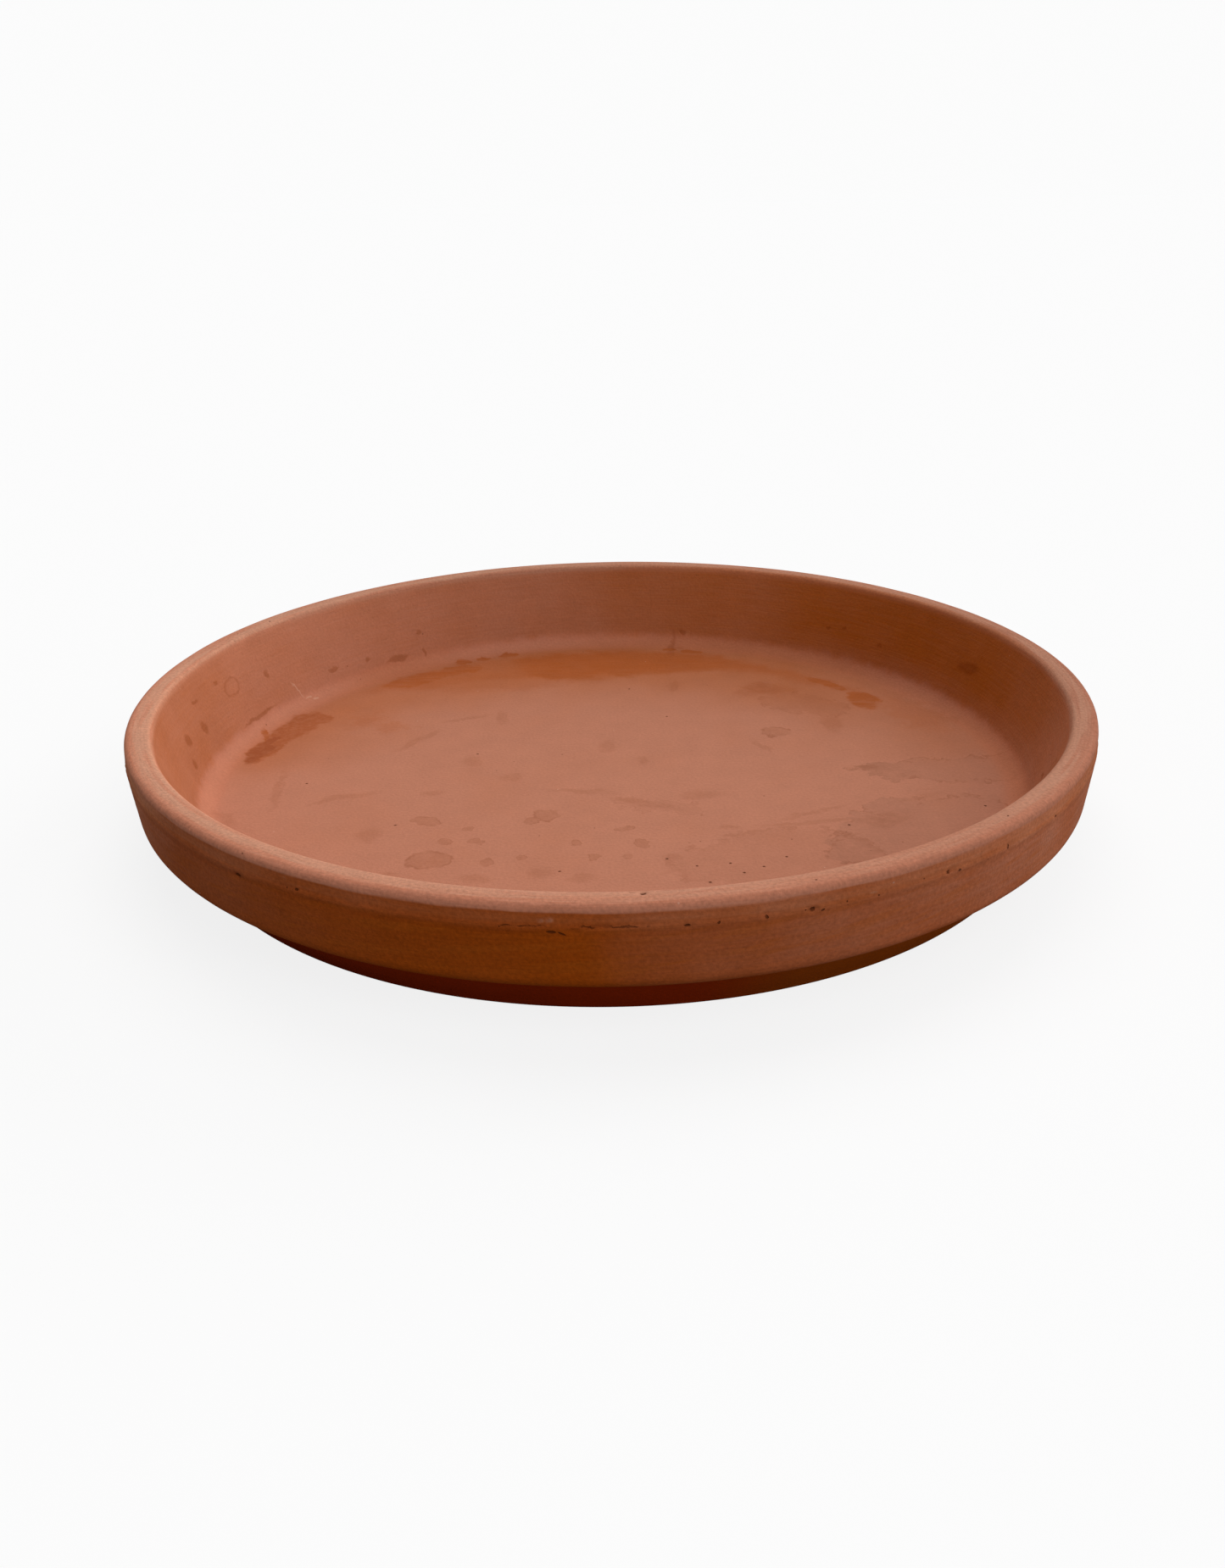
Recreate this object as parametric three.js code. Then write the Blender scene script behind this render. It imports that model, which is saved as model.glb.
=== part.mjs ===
// Terracotta plant saucer: a round, shallow drip dish pressed in one piece of clay and fired.
// Millimetres, +Z up. The origin is the centre of the underside, on the ground.
// Angles along the profile are in degrees: 0 points outwards from the axis, 90 points up.
import * as THREE from "three";

// Outside
const WIDEST_RADIUS = 127.2; // at the parting line
const HEIGHT = 32.2;
const FOOT_RADIUS = 112.5; // where the foot's side would meet the ground
const FOOT_EDGE = 1.2; // rounding between the base and that side
const FOOT_TOP_RADIUS = 121.5; // the crease under the collar
const COLLAR_BOTTOM = 11.7; // height of that crease
const COLLAR_BOTTOM_RADIUS = 125.8; // the collar leans in a little towards its lower edge
const COLLAR_EDGE = 3.6; // rounding of that edge

// The parting line that the two halves of the press leave round the collar
const SEAM_HEIGHT = 27.4;
const SEAM_STEP = 0.3; // the band above it stands back by this much
const SEAM_RISE = 0.5; // and does so over this height

// Lip
const LIP_WIDTH = 6.9;
const LIP_OUTER_EDGE = 1.8; // rounding of its outer corner
const LIP_INNER_EDGE = 1.6; // rounding of its inner corner
const CROWN_TILT = 5; // slope of the crowned top where it meets the corners

// Inside
const WALL_LEAN = 21.4; // the wall opens towards the lip, measured from upright
const COVE_RADIUS = 5.7; // rounding between the wall and the floor
const FLOOR_HEIGHT = 6.4;

// Fineness of the facets
const SEGMENTS = 96;
const ARC_STEPS = 4;
const CROWN_STEPS = 2;

const radians = THREE.MathUtils.degToRad;
const degrees = THREE.MathUtils.radToDeg;

// Points on an arc about (r, z), from one angle to another.
function arc(r, z, radius, from, to, steps = ARC_STEPS) {
  const points = [];
  for (let i = 0; i <= steps; i++) {
    const angle = radians(THREE.MathUtils.lerp(from, to, i / steps));
    points.push(new THREE.Vector2(r + radius * Math.cos(angle), z + radius * Math.sin(angle)));
  }
  return points;
}

// The foot: a flat base, a soft edge, and a side that flares out to the crease under the collar.
function foot() {
  const flare = Math.atan2(COLLAR_BOTTOM, FOOT_TOP_RADIUS - FOOT_RADIUS);
  const edgeCentre = FOOT_RADIUS - FOOT_EDGE * Math.tan(flare / 2);
  return [
    new THREE.Vector2(0, 0),
    ...arc(edgeCentre, FOOT_EDGE, FOOT_EDGE, -90, degrees(flare) - 90),
    new THREE.Vector2(FOOT_TOP_RADIUS, COLLAR_BOTTOM),
  ];
}

// The collar: a rounded lower edge, a nearly upright wall, and the step at the parting line.
function collar() {
  const edgeCentre = COLLAR_BOTTOM_RADIUS - COLLAR_EDGE;
  return [
    ...arc(edgeCentre, COLLAR_BOTTOM + COLLAR_EDGE, COLLAR_EDGE, -90, 0),
    new THREE.Vector2(WIDEST_RADIUS, SEAM_HEIGHT),
    new THREE.Vector2(WIDEST_RADIUS - SEAM_STEP, SEAM_HEIGHT + SEAM_RISE),
  ];
}

// The dish's inside face: the lip's inner corner runs straight into the leaning wall, and the
// wall into the cove, so the cove's centre follows from the corner's.
function coveCentre(cornerRadius, cornerHeight) {
  const lean = radians(WALL_LEAN);
  const height = FLOOR_HEIGHT + COVE_RADIUS;
  const wallTop = cornerRadius - LIP_INNER_EDGE * Math.cos(lean);
  const wallTopHeight = cornerHeight + LIP_INNER_EDGE * Math.sin(lean);
  const drop = wallTopHeight - (height - COVE_RADIUS * Math.sin(lean));
  return [wallTop - drop * Math.tan(lean) - COVE_RADIUS * Math.cos(lean), height];
}

// The lip and everything inside it: two rounded corners with a crowned top between them, all
// running into each other without a kink, then the wall, the cove and the floor.
function lipAndInside() {
  const tilt = radians(CROWN_TILT);
  const outside = WIDEST_RADIUS - SEAM_STEP;
  const outer = outside - LIP_OUTER_EDGE;
  const inner = outside - LIP_WIDTH + LIP_INNER_EDGE;
  const corners = (LIP_OUTER_EDGE + LIP_INNER_EDGE) * (1 - Math.sin(tilt));
  const crownRadius = (LIP_WIDTH - corners) / (2 * Math.sin(tilt));
  const crown = outer - (crownRadius - LIP_OUTER_EDGE) * Math.sin(tilt);
  const crownHeight = HEIGHT - crownRadius;
  const outerHeight = crownHeight + (crownRadius - LIP_OUTER_EDGE) * Math.cos(tilt);
  const innerHeight = crownHeight + (crownRadius - LIP_INNER_EDGE) * Math.cos(tilt);
  const [cove, coveHeight] = coveCentre(inner, innerHeight);
  return [
    ...arc(outer, outerHeight, LIP_OUTER_EDGE, 0, 90 - CROWN_TILT),
    ...arc(crown, crownHeight, crownRadius, 90 - CROWN_TILT, 90 + CROWN_TILT, CROWN_STEPS).slice(1),
    ...arc(inner, innerHeight, LIP_INNER_EDGE, 90 + CROWN_TILT, 180 - WALL_LEAN).slice(1),
    ...arc(cove, coveHeight, COVE_RADIUS, -WALL_LEAN, -90),
    new THREE.Vector2(0, FLOOR_HEIGHT),
  ];
}

// The whole saucer is one turned solid. A lathe turns about Y, so it is stood up on Z.
function saucer() {
  const profile = [...foot(), ...collar(), ...lipAndInside()];
  const clay = new THREE.MeshStandardMaterial({ color: 0xa9694a, roughness: 0.9, metalness: 0 });
  const mesh = new THREE.Mesh(new THREE.LatheGeometry(profile, SEGMENTS), clay);
  mesh.name = "saucer";
  mesh.rotation.x = Math.PI / 2;
  return mesh;
}

const model = new THREE.Group();
model.add(saucer());

export default model;
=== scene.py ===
"""Terracotta plant saucer: a pressed clay drip dish with a dusty bloom, water marks and a parting line.

The saucer is a finely turned mesh with relief, which stands for the CAD node "saucer". Its colours come
from one procedural clay. In the constants, lengths are millimetres and angles are degrees unless a comment
says otherwise; the scene is in metres.
"""
import math

import bpy
import numpy as np
from mathutils import Matrix, Vector, noise


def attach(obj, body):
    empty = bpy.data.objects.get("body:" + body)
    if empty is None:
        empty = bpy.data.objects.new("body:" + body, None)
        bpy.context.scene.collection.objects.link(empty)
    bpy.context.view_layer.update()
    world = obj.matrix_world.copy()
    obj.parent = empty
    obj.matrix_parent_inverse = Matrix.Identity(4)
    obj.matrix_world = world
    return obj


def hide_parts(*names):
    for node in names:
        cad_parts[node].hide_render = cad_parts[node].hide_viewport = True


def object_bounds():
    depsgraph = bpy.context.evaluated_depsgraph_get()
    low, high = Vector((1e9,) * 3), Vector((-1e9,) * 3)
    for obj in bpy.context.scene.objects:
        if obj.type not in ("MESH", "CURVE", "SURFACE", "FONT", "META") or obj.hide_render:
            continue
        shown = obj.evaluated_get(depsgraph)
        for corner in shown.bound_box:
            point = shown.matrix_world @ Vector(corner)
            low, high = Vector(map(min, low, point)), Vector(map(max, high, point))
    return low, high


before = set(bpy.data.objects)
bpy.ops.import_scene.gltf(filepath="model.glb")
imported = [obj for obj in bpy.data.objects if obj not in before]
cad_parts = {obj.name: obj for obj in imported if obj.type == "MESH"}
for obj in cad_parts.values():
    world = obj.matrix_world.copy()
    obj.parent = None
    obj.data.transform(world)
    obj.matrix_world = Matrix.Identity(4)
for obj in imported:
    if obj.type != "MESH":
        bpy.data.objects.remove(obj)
CAD_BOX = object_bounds()
MM = 0.001
WIDEST_RADIUS = (CAD_BOX[1].x - CAD_BOX[0].x) / 2 / MM
HEIGHT = CAD_BOX[1].z / MM

# The profile, as in the CAD part
FOOT_RADIUS = 112.5
FOOT_EDGE = 1.2
FOOT_TOP_RADIUS = 121.5
COLLAR_BOTTOM = 11.7
COLLAR_BOTTOM_RADIUS = 125.8
COLLAR_EDGE = 3.6
SEAM_HEIGHT = 27.4
SEAM_STEP = 0.3
SEAM_RISE = 0.5
LIP_WIDTH = 6.9
LIP_OUTER_EDGE = 1.8
LIP_INNER_EDGE = 1.6
CROWN_TILT = 5
WALL_LEAN = 21.4
COVE_RADIUS = 5.7
FLOOR_HEIGHT = 6.4

# Mesh fineness: the rim is turned in this many segments, and the flat middle in fewer towards the axis;
# then the steps along the profile
SEGMENTS = 960
FEWEST_SEGMENTS = 15
FINE_STEP = 0.35
RIM_STEP = 0.9
FLAT_STEP = 4.0
TINY = 1e-6

# Relief, pressed inwards by up to twice these depths: slow waves in the rim, turning lines round it, and
# waves in the foot and the floor that die out over a margin at their edges
RIM_WAVE_DEPTH = 0.08
RIM_WAVE_SIZE = 55
TURNING_DEPTH = 0.03
TURNING_DETAIL = (9, 0.9)
WAVE_DEPTHS = {"foot": 0.1, "floor": 0.06}
WAVE_SIZE = 14
WAVE_MARGIN = 3

# The creases of the parting line: how far they wander, and their depths and half widths. The first is
# deeper where the clay is torn; the softer one lies lower and varies in depth
SEAM_WANDER = 0.25
SEAM_WANDER_SIZE = 30
CREASE_DEPTH = 0.05
TORN_DEPTH = 0.32
TORN_DETAIL = (40, 0.4)
CREASE_WIDTH = 0.7
SOFT_CREASE_DEPTH = 0.12
SOFT_CREASE_UNEVEN = 0.08
SOFT_CREASE_UNEVEN_SIZE = 20
SOFT_CREASE_WIDTH = 1.0
SOFT_CREASE_DROP = 1.6

# Chips and torn pits: degrees round from +X, the stretch of the profile they start in and how far
# along it, half their width and height, and their depth
CHIP_ROUNDING = 0.7  # the smaller, the flatter the bottom of a chip and the steeper its sides
CHIPS = (
    (-87.4, "lip_top", 3.3, 1.0, 0.8, 0.65),
    (-88.3, "lip_top", 3.9, 1.1, 0.4, 0.3),
    (-128.6, "collar", 10.6, 1.5, 0.7, 0.6),
    (-93.6, "collar", 11.2, 1.4, 0.6, 0.5),
    (-91.2, "seam", 0.0, 3.2, 0.55, 0.4),
    (-83.7, "seam", -0.3, 1.0, 0.7, 0.5),
    (-76.6, "seam", 0.3, 1.1, 0.8, 0.55),
    (-72.2, "seam", -0.2, 1.3, 0.8, 0.6),
    (-57.0, "seam", 0.1, 1.2, 0.8, 0.6),
    (-48.6, "seam", -0.4, 0.9, 1.4, 0.5),
    (-39.4, "seam", -0.2, 1.0, 0.7, 0.4),
    (20.0, "seam", 0.1, 1.6, 0.7, 0.5),
    (74.0, "collar", 9.5, 1.3, 0.8, 0.5),
    (131.0, "lip_outer", 1.2, 1.5, 1.0, 0.5),
    (158.0, "seam", 0.0, 2.4, 0.6, 0.45),
    (-160.0, "seam", 0.2, 1.1, 0.8, 0.5),
)


# ---------------------------------------------------------------- profile

def arc(centre, radius, start, end, step):
    """Points round an arc, angles in degrees: 0 points outwards, 90 up."""
    length = abs(math.radians(end - start)) * radius
    count = max(4, math.ceil(length / step))
    angles = np.radians(np.linspace(start, end, count + 1))
    return [(centre[0] + radius * math.cos(a), centre[1] + radius * math.sin(a)) for a in angles]


def line(start, end, step):
    """Points along a straight stretch, both ends included."""
    count = max(1, math.ceil(math.dist(start, end) / step))
    return [tuple(np.array(start) + (np.array(end) - start) * t) for t in np.linspace(0, 1, count + 1)]


def underside_and_foot():
    flare = math.atan2(COLLAR_BOTTOM, FOOT_TOP_RADIUS - FOOT_RADIUS)
    edge = (FOOT_RADIUS - FOOT_EDGE * math.tan(flare / 2), FOOT_EDGE)
    rounding = arc(edge, FOOT_EDGE, -90, math.degrees(flare) - 90, FINE_STEP)
    return {
        "underside": line((0, 0), rounding[0], FLAT_STEP),
        "foot_edge": rounding,
        "foot": line(rounding[-1], (FOOT_TOP_RADIUS, COLLAR_BOTTOM), RIM_STEP),
    }


def collar():
    edge = (COLLAR_BOTTOM_RADIUS - COLLAR_EDGE, COLLAR_BOTTOM + COLLAR_EDGE)
    seam = (WIDEST_RADIUS, SEAM_HEIGHT)
    above = (WIDEST_RADIUS - SEAM_STEP, SEAM_HEIGHT + SEAM_RISE)
    return {
        "collar_edge": arc(edge, COLLAR_EDGE, -90, 0, RIM_STEP / 2),
        "collar": line((COLLAR_BOTTOM_RADIUS, edge[1]), seam, RIM_STEP / 1.6),
        "seam": line(seam, above, FINE_STEP / 2),
    }


def lip_and_inside():
    sine, cosine = math.sin(math.radians(CROWN_TILT)), math.cos(math.radians(CROWN_TILT))
    outside = WIDEST_RADIUS - SEAM_STEP
    outer = outside - LIP_OUTER_EDGE
    inner = outside - LIP_WIDTH + LIP_INNER_EDGE
    crown_radius = (LIP_WIDTH - (LIP_OUTER_EDGE + LIP_INNER_EDGE) * (1 - sine)) / (2 * sine)
    crown = (outer - (crown_radius - LIP_OUTER_EDGE) * sine, HEIGHT - crown_radius)
    outer_centre = (outer, crown[1] + (crown_radius - LIP_OUTER_EDGE) * cosine)
    inner_centre = (inner, crown[1] + (crown_radius - LIP_INNER_EDGE) * cosine)
    inner_arc = arc(inner_centre, LIP_INNER_EDGE, 90 + CROWN_TILT, 180 - WALL_LEAN, FINE_STEP)
    lean = math.radians(WALL_LEAN)
    cove_height = FLOOR_HEIGHT + COVE_RADIUS
    drop = inner_arc[-1][1] - (cove_height - COVE_RADIUS * math.sin(lean))
    cove_centre = inner_arc[-1][0] - drop * math.tan(lean) - COVE_RADIUS * math.cos(lean)
    cove = arc((cove_centre, cove_height), COVE_RADIUS, -WALL_LEAN, -90, RIM_STEP)
    return {
        "band": line((outside, SEAM_HEIGHT + SEAM_RISE), (outside, outer_centre[1]), FINE_STEP * 1.4),
        "lip_outer": arc(outer_centre, LIP_OUTER_EDGE, 0, 90 - CROWN_TILT, FINE_STEP),
        "lip_top": arc(crown, crown_radius, 90 - CROWN_TILT, 90 + CROWN_TILT, FINE_STEP * 1.2),
        "lip_inner": inner_arc,
        "wall": line(inner_arc[-1], cove[0], RIM_STEP),
        "cove": cove,
        "floor": line(cove[-1], (0, FLOOR_HEIGHT), FLAT_STEP),
    }


def whole_profile():
    """The outline as rings (r, z), and how far along it each named stretch starts and ends."""
    stretches = {**underside_and_foot(), **collar(), **lip_and_inside()}
    points, stations = [], {}
    travelled = 0.0
    for name, stretch in stretches.items():
        start = travelled + (math.dist(points[-1], stretch[0]) if points else 0)
        for point in stretch:
            gap = math.dist(points[-1], point) if points else 0
            travelled += gap
            if not points or gap > TINY:
                points.append(point)
        stations[name] = (start, travelled)
    return np.array(points), stations


# ---------------------------------------------------------------- mesh

def fractal(points, size, octaves=3):
    """Smooth noise from about -1 to 1 at each point, with features about size millimetres across."""
    return np.array([noise.fractal(Vector(p) / size, 1.0, 2.0, octaves) for p in points])


def hump(value, centre, width):
    """1 at the centre, falling smoothly to 0 at width away on either side."""
    return np.clip(1 - ((value - centre) / width) ** 2, 0, None) ** 2


def ramp(value, low, high):
    """0 below low, 1 above high, smooth between."""
    t = np.clip((value - low) / (high - low), 0, 1)
    return t * t * (3 - 2 * t)


def drawn_out(angle, along, around, across):
    """Places for noise that is drawn out round the rim, with this much detail around and across."""
    return np.c_[np.cos(angle) * around, np.sin(angle) * around, along * across]


def relief(places, angle, along, stations):
    """How far each point lies inside the perfect profile, in millimetres."""
    rim = ramp(along, stations["foot"][1], stations["collar"][0])
    rim *= 1 - ramp(along, stations["cove"][0], stations["cove"][1])
    depth = rim * RIM_WAVE_DEPTH * (1 + fractal(places, RIM_WAVE_SIZE, 2))
    depth += rim * TURNING_DEPTH * (1 + fractal(drawn_out(angle, along, *TURNING_DETAIL), 1, 3))
    for name, deep in WAVE_DEPTHS.items():
        here = ramp(along, stations[name][0], stations[name][0] + WAVE_MARGIN)
        here *= 1 - ramp(along, stations[name][1] - WAVE_MARGIN, stations[name][1])
        depth += here * deep * (1 + fractal(places, WAVE_SIZE, 3))
    depth += seam_relief(places, angle, along, stations)
    depth += chips(angle, along, stations)
    return depth


def seam_relief(places, angle, along, stations):
    """Two uneven creases that the closed press leaves, one at the step and a softer one under it."""
    step = stations["seam"][0]
    wander = fractal(places, SEAM_WANDER_SIZE, 2) * SEAM_WANDER
    torn = np.clip(fractal(drawn_out(angle, along, *TORN_DETAIL), 1, 4), 0, 1)
    crease = CREASE_DEPTH + TORN_DEPTH * torn
    crease *= hump(along, step + wander, CREASE_WIDTH)
    soft = SOFT_CREASE_DEPTH + SOFT_CREASE_UNEVEN * fractal(places, SOFT_CREASE_UNEVEN_SIZE, 2)
    soft *= hump(along, step - SOFT_CREASE_DROP + wander, SOFT_CREASE_WIDTH)
    return crease + soft


def chips(angle, along, stations):
    """Small hollows knocked or torn out of the rim."""
    around = np.degrees(angle)
    depth = np.zeros(len(along))
    for degrees, stretch, offset, width, height, deep in CHIPS:
        u = ((around - degrees + 180) % 360 - 180) * math.radians(1) * WIDEST_RADIUS
        v = along - stations[stretch][0] - offset
        reach = np.hypot(u / width, v / height)
        depth += deep * np.clip(1 - reach ** 2, 0, None) ** CHIP_ROUNDING
    return depth


def ring_sizes(points, along, stations):
    """How many vertices each ring has: all round the rim, and fewer towards the axis."""
    sizes = []
    for (radius, _), s in zip(points, along):
        coarse = s < stations["collar_edge"][0] - TINY or s > stations["lip_inner"][1] + TINY
        flat = s < stations["underside"][1] - TINY or s > stations["floor"][0] + TINY
        size = SEGMENTS // 2 if coarse else SEGMENTS
        while flat and size > FEWEST_SEGMENTS and 2 * math.pi * radius / size < FLAT_STEP / 2:
            size //= 2
        sizes.append(1 if radius < TINY else size)
    return sizes


def faces_between(low, low_size, high, high_size):
    """Faces from one ring up to the next; a ring may have half as many vertices as its neighbour."""
    faces = []
    size = max(low_size, high_size)
    for i in range(size):
        j = (i + 1) % size
        a, b = low + i * low_size // size, low + j * low_size // size
        c, d = high + j * high_size // size, high + i * high_size // size
        corners = [a, b, c, d]
        faces.append([v for k, v in enumerate(corners) if v != corners[k - 1]])
    return faces


def turned_mesh(name):
    """The profile turned about Z, with the relief pressed into it."""
    points, stations = whole_profile()
    steps = np.diff(points, axis=0)
    along = np.r_[0, np.cumsum(np.hypot(*steps.T))]
    slopes = np.gradient(points, along, axis=0)
    slopes /= np.hypot(*slopes.T)[:, None]
    sizes = ring_sizes(points, along, stations)
    starts = np.r_[0, np.cumsum(sizes)]
    angle = np.concatenate([np.arange(n) * 2 * math.pi / n for n in sizes])
    ring = np.repeat(np.arange(len(sizes)), sizes)
    radius, height = points[ring].T
    places = np.c_[radius * np.cos(angle), radius * np.sin(angle), height]
    depth = relief(places, angle, along[ring], stations)
    out_r, out_z = slopes[ring, 1], -slopes[ring, 0]
    radius = radius - depth * out_r
    height = np.clip(height - depth * out_z, 0, HEIGHT)
    corners = np.c_[radius * np.cos(angle), radius * np.sin(angle), height] * MM
    faces = []
    for i in range(len(sizes) - 1):
        faces += faces_between(starts[i], sizes[i], starts[i + 1], sizes[i + 1])
    mesh = bpy.data.meshes.new(name)
    mesh.from_pydata(corners.tolist(), [], [[int(v) for v in f] for f in faces])
    mesh.attributes.new("along", "FLOAT", "POINT").data.foreach_set("value", along[ring])
    mesh.shade_smooth()
    mesh.update()
    return mesh, stations


# ---------------------------------------------------------------- shader graph

NOISE_ROUGHNESS = 0.5
NOISE_SWING = 0.25  # how far plain noise mostly strays from its middle, 0.5

# The Mix node's sockets for numbers and for colours: factor, a, b, and the result
MIX_NUMBERS = (0, 2, 3, 0)
MIX_COLOURS = (0, 6, 7, 2)


class Graph:
    """The nodes of one material, with short names for the sums they are wired from."""

    def __init__(self, name):
        self.material = bpy.data.materials.new(name)
        self.material.use_nodes = True
        self.tree = self.material.node_tree
        self.shader = self.tree.nodes["Principled BSDF"]

    def feed(self, socket, value):
        if isinstance(value, bpy.types.NodeSocket):
            self.tree.links.new(value, socket)
        else:
            socket.default_value = value

    def node(self, kind, inputs=(), output=0, **settings):
        node = self.tree.nodes.new("ShaderNode" + kind)
        for name, value in settings.items():
            setattr(node, name, value)
        for key, value in dict(inputs).items():
            self.feed(node.inputs[key], value)
        return node.outputs[output]

    def maths(self, operation, a, b=0.0, clamp=False):
        return self.node("Math", {0: a, 1: b}, operation=operation, use_clamp=clamp)

    def run(self, operation, values):
        """The operation on the first two values, then on its result and the third, and so on."""
        result, *rest = values
        for value in rest:
            result = self.maths(operation, result, value)
        return result

    def add(self, *values):
        return self.run("ADD", values)

    def times(self, *values):
        return self.run("MULTIPLY", values)

    def least(self, *values):
        return self.run("MINIMUM", values)

    def most(self, *values):
        return self.run("MAXIMUM", values)

    def less(self, a, b):
        """a take away b."""
        return self.maths("SUBTRACT", a, b)

    def limit(self, a):
        """Keep a between 0 and 1."""
        return self.maths("ADD", a, 0.0, clamp=True)

    def vector(self, operation, a, b=(0, 0, 0), output="Vector"):
        return self.node("VectorMath", {0: a, 1: b}, output, operation=operation)

    def join(self, x, y, z=0.0):
        return self.node("CombineXYZ", {0: x, 1: y, 2: z})

    def noise(self, place, size, detail=2.0, output="Fac"):
        """Cloudy noise from 0 to 1 with features about size millimetres across."""
        settings = {"Vector": place, "Scale": 1 / size, "Detail": detail, "Roughness": NOISE_ROUGHNESS}
        return self.node("TexNoise", settings, output)

    def ripple(self, place, size, amount, detail=2.0):
        """Noise that swings about amount to either side of nought."""
        return self.times(self.less(self.noise(place, size, detail), 0.5), amount / NOISE_SWING)

    def fade(self, value, low, high, bottom=0.0, top=1.0):
        """bottom below low, top above high, smooth between; low may be the larger."""
        limits = {0: value, 1: min(low, high), 2: max(low, high)}
        ends = (bottom, top) if low < high else (top, bottom)
        return self.node("MapRange", {**limits, 3: ends[0], 4: ends[1]}, interpolation_type="SMOOTHSTEP")

    def curve(self, value, points):
        """A smooth curve through the (x, y) points, both from 0 to 1."""
        node = self.tree.nodes.new("ShaderNodeFloatCurve")
        dots = node.mapping.curves[0].points
        while len(dots) < len(points):
            dots.new(0.5, 0.5)
        for dot, point in zip(dots, points):
            dot.location = point
            dot.handle_type = "AUTO_CLAMPED"
        node.mapping.update()
        self.feed(node.inputs["Value"], value)
        return node.outputs[0]

    def blend_value(self, amount, a, b):
        """Number a turned into number b by the amount."""
        factor, first, second, result = MIX_NUMBERS
        return self.node("Mix", {factor: amount, first: a, second: b}, result)

    def speckle(self, place, spacing, size, scarcity):
        """Scattered round dots: size is a share of the spacing, and scarcity the share left out."""
        cells = self.tree.nodes.new("ShaderNodeTexVoronoi")
        self.feed(cells.inputs["Vector"], place)
        self.feed(cells.inputs["Scale"], 1 / spacing)
        chosen = self.node("SeparateColor", {0: cells.outputs["Color"]})
        dot = self.fade(cells.outputs["Distance"], size, size * 0.5)
        return self.times(dot, self.maths("GREATER_THAN", chosen, scarcity))

    def blend(self, amount, a, b, kind="MIX"):
        """Colour a turned into colour b by the amount."""
        factor, first, second, result = MIX_COLOURS
        a, b = ((*value, 1) if isinstance(value, tuple) else value for value in (a, b))
        inputs = {factor: amount, first: a, second: b}
        return self.node("Mix", inputs, result, data_type="RGBA", blend_type=kind)

    def tinted(self, amount, colour, tint):
        """The colour multiplied by the tint, by the amount."""
        return self.blend(amount, colour, tint, "MULTIPLY")

    def brightened(self, colour, tone):
        """The colour made this many times as bright."""
        return self.tinted(1.0, colour, self.node("CombineColor", {0: tone, 1: tone, 2: tone}))

    def nearest(self, place, marks):
        """How near the closest mark is: 0 at a mark's centre and 1 at its edge.

        Each mark is (x, y, half its length, half its width, degrees turned).
        """
        reaches = []
        for x, y, long, wide, turn in marks:
            a = math.radians(turn)
            cosine, sine = math.cos(a), math.sin(a)
            from_centre = self.vector("SUBTRACT", place, (x, y, 0))
            lengthwise = self.vector("DOT_PRODUCT", from_centre, (cosine / long, sine / long, 0), "Value")
            crosswise = self.vector("DOT_PRODUCT", from_centre, (-sine / wide, cosine / wide, 0), "Value")
            reaches.append(self.vector("LENGTH", self.join(lengthwise, crosswise), output="Value"))
        return self.least(*reaches)


# ---------------------------------------------------------------- fired clay

# Colours of the clay
BLOOM = (0.51, 0.207, 0.127)
LIP_DUST = (0.56, 0.275, 0.178)
LIP_ROLL = (0.53, 0.207, 0.125)
LIP_BARE = (0.56, 0.165, 0.058)
# The outside's bare clay is painted darker and more saturated than the same clay inside, as painted shade on
# the outer wall
BARE_OUTSIDE_SHADED = (0.378, 0.069, 0.004)
BARE_INSIDE = (0.40, 0.100, 0.013)
WASHED = (0.405, 0.100, 0.024)
STAINED = (0.39, 0.112, 0.044)
# The foot's rawer clay, painted darker partly as shade under the collar's overhang
FOOT_CLAY_SHADED = (0.30, 0.025, 0.001)
FOOT_BROWN_SHADED = (0.29, 0.055, 0.002)
UNDERNEATH = (0.40, 0.105, 0.030)
RUBBED_OUTSIDE = (0.45, 0.104, 0.010)
PIT = (0.09, 0.018, 0.004)
PALE_SCRATCH = (0.62, 0.33, 0.22)
GRIT = (0.66, 0.42, 0.32)

# Tints that multiply the clay's colour
BAND_TINT = (1.08, 1.10, 0.99)
# A painted highlight along the cove: it is made a little lighter and warmer
COVE_HIGHLIGHT_TINT = (1.05, 1.0, 0.98)
# Painted shade from the back wall, over the back of the floor
BACK_SHADE_TINT = (0.945, 0.93, 0.915)
DARK_PATCH_TINT = (0.85, 0.80, 0.77)
DAMP_TINT = (0.84, 0.84, 0.82)
FAINT_DAMP_TINT = (0.89, 0.905, 0.91)
TIDE_TINT = (0.95, 0.935, 0.92)
GHOST_TINT = (0.90, 0.865, 0.83)
DROP_TINT = (0.87, 0.83, 0.79)
TIDE_LINE_TINT = (0.86, 0.81, 0.77)
WALL_STAIN_TINT = (0.80, 0.72, 0.62)
# Grime with painted shade: in the soft crease under the parting line, and on its step
GRIME_AND_SHADE_TINT = (0.90, 0.85, 0.78)
STEP_SHADE_TINT = (0.88, 0.83, 0.74)

# How strongly each kind of mark covers the clay, from 0 to 1
RUBBED_STRENGTH = 0.3
SMUDGE_STRENGTH = 0.85
CLOUD_STRENGTH = 0.24
WARM_STRENGTH = 0.55
RING_STRENGTH = 0.6
STREAK_STRENGTH = 0.8
SCRATCH_STRENGTH = 0.6
SMEAR_STRENGTH = 0.4
CRACK_STRENGTH = 0.7
SPECK_STRENGTH = 0.6
PIT_STRENGTH = 0.8
GRIT_STRENGTH = 0.4
LIP_STRENGTH = 0.92

# The surface: how dull it is, and how high its sandy bumps and deep its pits are
ROUGHNESS = 0.9
SPECULAR = 0.03
BUMP_HEIGHT = 0.03
PIT_DEPTH = 0.3

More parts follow.
